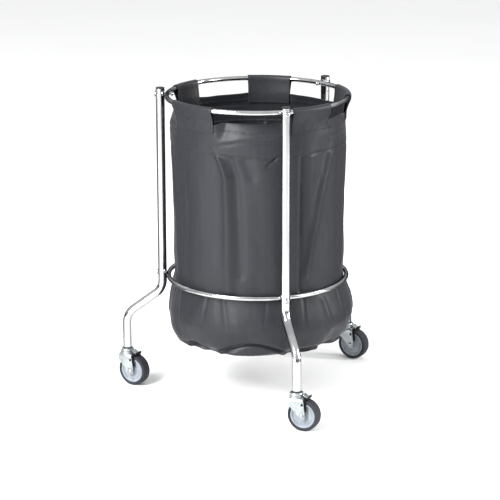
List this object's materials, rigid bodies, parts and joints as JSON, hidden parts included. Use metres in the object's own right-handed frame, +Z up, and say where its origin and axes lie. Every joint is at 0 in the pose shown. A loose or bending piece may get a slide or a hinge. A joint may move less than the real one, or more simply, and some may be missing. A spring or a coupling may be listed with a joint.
{
  "type": "linen trolley",
  "caption": "Round laundry bag hung by fabric tabs from a chrome ring on cranked tube legs with swivel casters and brake levers.",
  "frame": {"origin": "middle of the footprint's bounding box, on the floor", "axes": "+Z up, along the legs; -Y towards the leg with the front caster"},
  "size_m": [0.6858, 0.6128, 0.7772],
  "materials": {
    "chrome_tube": "bright chrome-plated steel tube and round bar",
    "chrome_fastener": "bright plated screws and cap nuts",
    "zinc_steel": "bright zinc-plated pressed steel",
    "bag_fabric": "dark grey coated woven polyester, semi-matt",
    "cap_plastic": "dark grey moulded plastic",
    "lever_plastic": "black moulded nylon",
    "hub_plastic": "light grey moulded polypropylene",
    "tyre_rubber": "dark grey non-marking thermoplastic rubber"
  },
  "bodies": {
    "frame": {"top_ring": "chrome_tube", "lower_hoop": "chrome_tube", "bag_shell": "bag_fabric", "bag_tab_front_right": "bag_fabric", "bag_tab_right": "bag_fabric", "bag_tab_back": "bag_fabric", "bag_tab_back_left": "bag_fabric", "bag_tab_front_left": "bag_fabric", "leg_tube_front": "chrome_tube", "leg_cap_front": "cap_plastic", "ring_screw_front": "chrome_fastener", "ring_nut_front": "chrome_fastener", "hoop_screw_front": "chrome_fastener", "caster_front_socket": "cap_plastic", "caster_front_stem": "zinc_steel", "caster_front_head": "zinc_steel", "leg_tube_left": "chrome_tube", "leg_cap_left": "cap_plastic", "ring_screw_left": "chrome_fastener", "ring_nut_left": "chrome_fastener", "hoop_screw_left": "chrome_fastener", "caster_left_socket": "cap_plastic", "caster_left_stem": "zinc_steel", "caster_left_head": "zinc_steel", "leg_tube_right": "chrome_tube", "leg_cap_right": "cap_plastic", "ring_screw_right": "chrome_fastener", "ring_nut_right": "chrome_fastener", "hoop_screw_right": "chrome_fastener", "caster_right_socket": "cap_plastic", "caster_right_stem": "zinc_steel", "caster_right_head": "zinc_steel"},
    "caster_front_fork": {"caster_front_fork": "zinc_steel", "caster_front_axle_bolt": "zinc_steel", "caster_front_axle_nut": "zinc_steel"},
    "caster_front_wheel": {"caster_front_tyre": "tyre_rubber", "caster_front_hub": "hub_plastic"},
    "caster_front_brake": {"caster_front_brake_lever": "lever_plastic", "caster_front_brake_plate": "zinc_steel"},
    "caster_left_fork": {"caster_left_fork": "zinc_steel", "caster_left_axle_bolt": "zinc_steel", "caster_left_axle_nut": "zinc_steel"},
    "caster_left_wheel": {"caster_left_tyre": "tyre_rubber", "caster_left_hub": "hub_plastic"},
    "caster_left_brake": {"caster_left_brake_lever": "lever_plastic", "caster_left_brake_plate": "zinc_steel"},
    "caster_right_fork": {"caster_right_fork": "zinc_steel", "caster_right_axle_bolt": "zinc_steel", "caster_right_axle_nut": "zinc_steel"},
    "caster_right_wheel": {"caster_right_tyre": "tyre_rubber", "caster_right_hub": "hub_plastic"},
    "caster_right_brake": {"caster_right_brake_lever": "lever_plastic", "caster_right_brake_plate": "zinc_steel"}
  },
  "joints": [
    {"name": "caster_front_swivel", "type": "hinge", "parent": "frame", "child": "caster_front_fork", "pos_m": [-0.00305, -0.25989, 0.084], "axis": [0, 0, 1], "continuous": true},
    {"name": "caster_front_roll", "type": "hinge", "parent": "caster_front_fork", "child": "caster_front_wheel", "pos_m": [0.01265, -0.27229, 0.04], "axis": [0.6198, 0.7848, 0], "continuous": true},
    {"name": "caster_front_brake_press", "type": "hinge", "parent": "caster_front_fork", "child": "caster_front_brake", "pos_m": [0.01343, -0.27291, 0.07], "axis": [0.6198, 0.7848, 0], "range_deg": [0, 15]},
    {"name": "caster_left_swivel", "type": "hinge", "parent": "frame", "child": "caster_left_fork", "pos_m": [-0.31813, 0.19009, 0.084], "axis": [0, 0, 1], "continuous": true},
    {"name": "caster_left_roll", "type": "hinge", "parent": "caster_left_fork", "child": "caster_left_wheel", "pos_m": [-0.30457, 0.17539, 0.04], "axis": [0.7349, 0.6782, 0], "continuous": true},
    {"name": "caster_left_brake_press", "type": "hinge", "parent": "caster_left_fork", "child": "caster_left_brake", "pos_m": [-0.30389, 0.17466, 0.07], "axis": [0.7349, 0.6782, 0], "range_deg": [0, 15]},
    {"name": "caster_right_swivel", "type": "hinge", "parent": "frame", "child": "caster_right_fork", "pos_m": [0.293, 0.23282, 0.084], "axis": [0, 0, 1], "continuous": true},
    {"name": "caster_right_roll", "type": "hinge", "parent": "caster_right_fork", "child": "caster_right_wheel", "pos_m": [0.30682, 0.21836, 0.04], "axis": [0.723, 0.6909, 0], "continuous": true},
    {"name": "caster_right_brake_press", "type": "hinge", "parent": "caster_right_fork", "child": "caster_right_brake", "pos_m": [0.30751, 0.21764, 0.07], "axis": [0.723, 0.6909, 0], "range_deg": [0, 15]}
  ]
}
